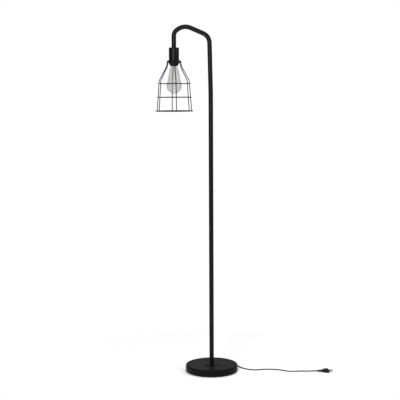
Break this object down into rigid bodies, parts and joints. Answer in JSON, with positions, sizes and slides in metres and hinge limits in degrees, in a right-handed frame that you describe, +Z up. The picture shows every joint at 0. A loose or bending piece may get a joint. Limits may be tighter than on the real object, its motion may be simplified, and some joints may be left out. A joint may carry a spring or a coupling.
{
  "type": "floor lamp",
  "caption": "Floor lamp with a round weighted base, a slim bent pole and a wire cage shade hanging round a bare bulb, with an inline switch on its mains lead.",
  "frame": {"origin": "centre of the round base, on the floor", "axes": "+Z up along the pole, +X to the right of a viewer in front of the lamp with the shade on the left (-X), +Y away from that viewer"},
  "size_m": [0.7438, 0.2921, 1.4559],
  "materials": {
    "black_steel": "satin black powder coat",
    "iron": "raw casting",
    "zinc_steel": "zinc plated",
    "black_rubber": "matt rubber",
    "black_plastic": "fine moulded texture",
    "cord_sheath": "smooth flexible sheath",
    "porcelain": "glazed",
    "brass": "bright",
    "nickel": "nickel plated",
    "copper": "bare strands",
    "clear_glass": "clear",
    "black_glass": "black glass",
    "solder": "dull solder",
    "phosphor": "phosphor coated",
    "circuit_board": "bare board"
  },
  "bodies": {
    "lamp": {"arch_tube": "black_steel", "base_bottom_plate": "black_steel", "base_cover": "black_steel", "base_weight": "iron", "bottom_plate_screws": "zinc_steel", "cage_ring_lower": "black_steel", "cage_ring_middle": "black_steel", "cage_ring_upper": "black_steel", "cage_top_plate": "black_steel", "cage_wire_1": "black_steel", "cage_wire_2": "black_steel", "cage_wire_3": "black_steel", "cage_wire_4": "black_steel", "cage_wire_5": "black_steel", "cage_wire_6": "black_steel", "centre_contact": "brass", "coil_tie": "black_plastic", "cord_coil": "cord_sheath", "cord_lead": "cord_sheath", "cord_link": "cord_sheath", "cord_run": "cord_sheath", "cord_strain_relief": "black_plastic", "core_conductors": "copper", "foot_nipple": "zinc_steel", "foot_nut": "zinc_steel", "foot_washer": "zinc_steel", "holder_barrel": "black_plastic", "holder_core": "porcelain", "holder_cup": "black_steel", "holder_dome": "black_plastic", "holder_nipple": "zinc_steel", "holder_nut": "zinc_steel", "inner_cord": "cord_sheath", "joint_nipples": "zinc_steel", "lower_pole": "black_steel", "middle_pole": "black_steel", "plug_body": "black_plastic", "plug_pins": "nickel", "plug_strain_relief": "black_plastic", "pole_bushes": "zinc_steel", "pole_flange": "black_steel", "rubber_feet": "black_rubber", "screw_shell": "brass", "shade_ring": "black_plastic", "switch_contacts": "brass", "switch_lower_shell": "black_plastic", "switch_screws": "zinc_steel", "switch_upper_shell": "black_plastic", "terminal_blocks": "brass", "terminal_screws": "zinc_steel"},
    "bulb_contact": {"solder_tip": "solder"},
    "bulb": {"bulb_glass": "clear_glass", "bulb_cap": "nickel", "cap_insulator": "black_glass", "bulb_stem": "clear_glass", "led_filaments": "phosphor", "filament_leads": "nickel", "bulb_driver": "circuit_board"},
    "rocker": {"switch_rocker": "black_plastic"}
  },
  "joints": [
    {"name": "bulb_travel", "type": "slide", "parent": "lamp", "child": "bulb_contact", "axis": [0, 0, 1], "range_m": [-0.01815, 0]},
    {"name": "bulb_turn", "type": "hinge", "parent": "bulb_contact", "child": "bulb", "pos_m": [-0.151, 0, 1.3], "axis": [0, 0, 1], "range_deg": [-1800, 0]},
    {"name": "rocker_press", "type": "hinge", "parent": "lamp", "child": "rocker", "pos_m": [0.0697, 0.10461, 0.008], "axis": [-0.6157, -0.788, 0], "range_deg": [0, 16]}
  ],
  "couplings": [
    {"joint": "bulb_travel", "follows": "bulb_turn", "m_per_rad": 0.00057757}
  ]
}
